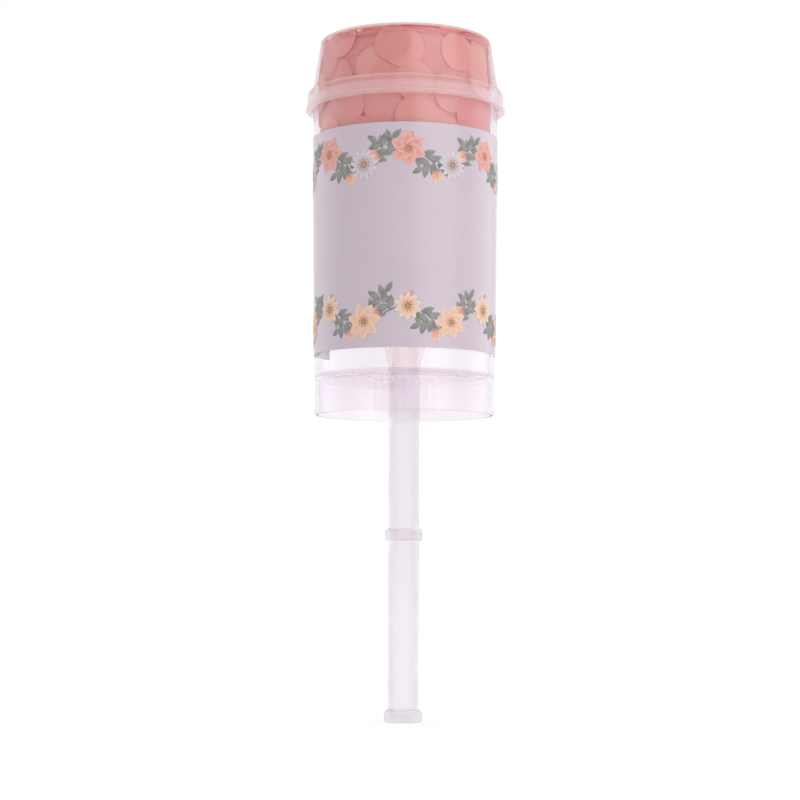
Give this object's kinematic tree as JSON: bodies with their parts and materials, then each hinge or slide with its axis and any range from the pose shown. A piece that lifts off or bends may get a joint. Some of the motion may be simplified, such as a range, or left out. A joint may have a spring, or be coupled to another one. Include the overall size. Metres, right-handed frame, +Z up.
{
  "type": "confetti popper",
  "caption": "Push-up confetti popper: clear drafted tube with a lift-off lid, paper label, plunger on a two-piece push stick and a loose fill of round tissue confetti.",
  "frame": {"origin": "centre of the foot's flat underside, on the common axis", "axes": "+Z up the common axis of stick, barrel and lid; -Y faces the picture's camera, +X to its right"},
  "size_m": [0.0542, 0.0542, 0.1847],
  "materials": {
    "clear_plastic": "gloss",
    "milky_plastic": "satin",
    "label_paper": "matte",
    "confetti_tissue": "matte"
  },
  "bodies": {
    "barrel": {"barrel": "clear_plastic", "label": "label_paper"},
    "plunger": {"plunger": "milky_plastic", "stick_upper": "milky_plastic", "stick_lower": "milky_plastic"},
    "confetti": {"confetti_wall_01": "confetti_tissue", "confetti_wall_02": "confetti_tissue", "confetti_wall_03": "confetti_tissue", "confetti_wall_04": "confetti_tissue", "confetti_wall_05": "confetti_tissue", "confetti_wall_06": "confetti_tissue", "confetti_wall_07": "confetti_tissue", "confetti_wall_08": "confetti_tissue", "confetti_wall_09": "confetti_tissue", "confetti_wall_10": "confetti_tissue", "confetti_stack_1": "confetti_tissue", "confetti_stack_2": "confetti_tissue", "confetti_stack_3": "confetti_tissue", "confetti_stack_4": "confetti_tissue", "confetti_stack_5": "confetti_tissue", "confetti_stack_6": "confetti_tissue", "confetti_stack_7": "confetti_tissue"},
    "lid": {"lid": "clear_plastic"}
  },
  "joints": [
    {"name": "plunger_push", "type": "slide", "parent": "barrel", "child": "plunger", "axis": [0, 0, 1], "range_m": [0, 0.0565]},
    {"name": "confetti_pop", "type": "slide", "parent": "plunger", "child": "confetti", "axis": [0, 0, 1], "range_m": [0, 0.04]},
    {"name": "lid_lift", "type": "slide", "parent": "confetti", "child": "lid", "axis": [0, 0, 1], "range_m": [0, 0.04]}
  ]
}
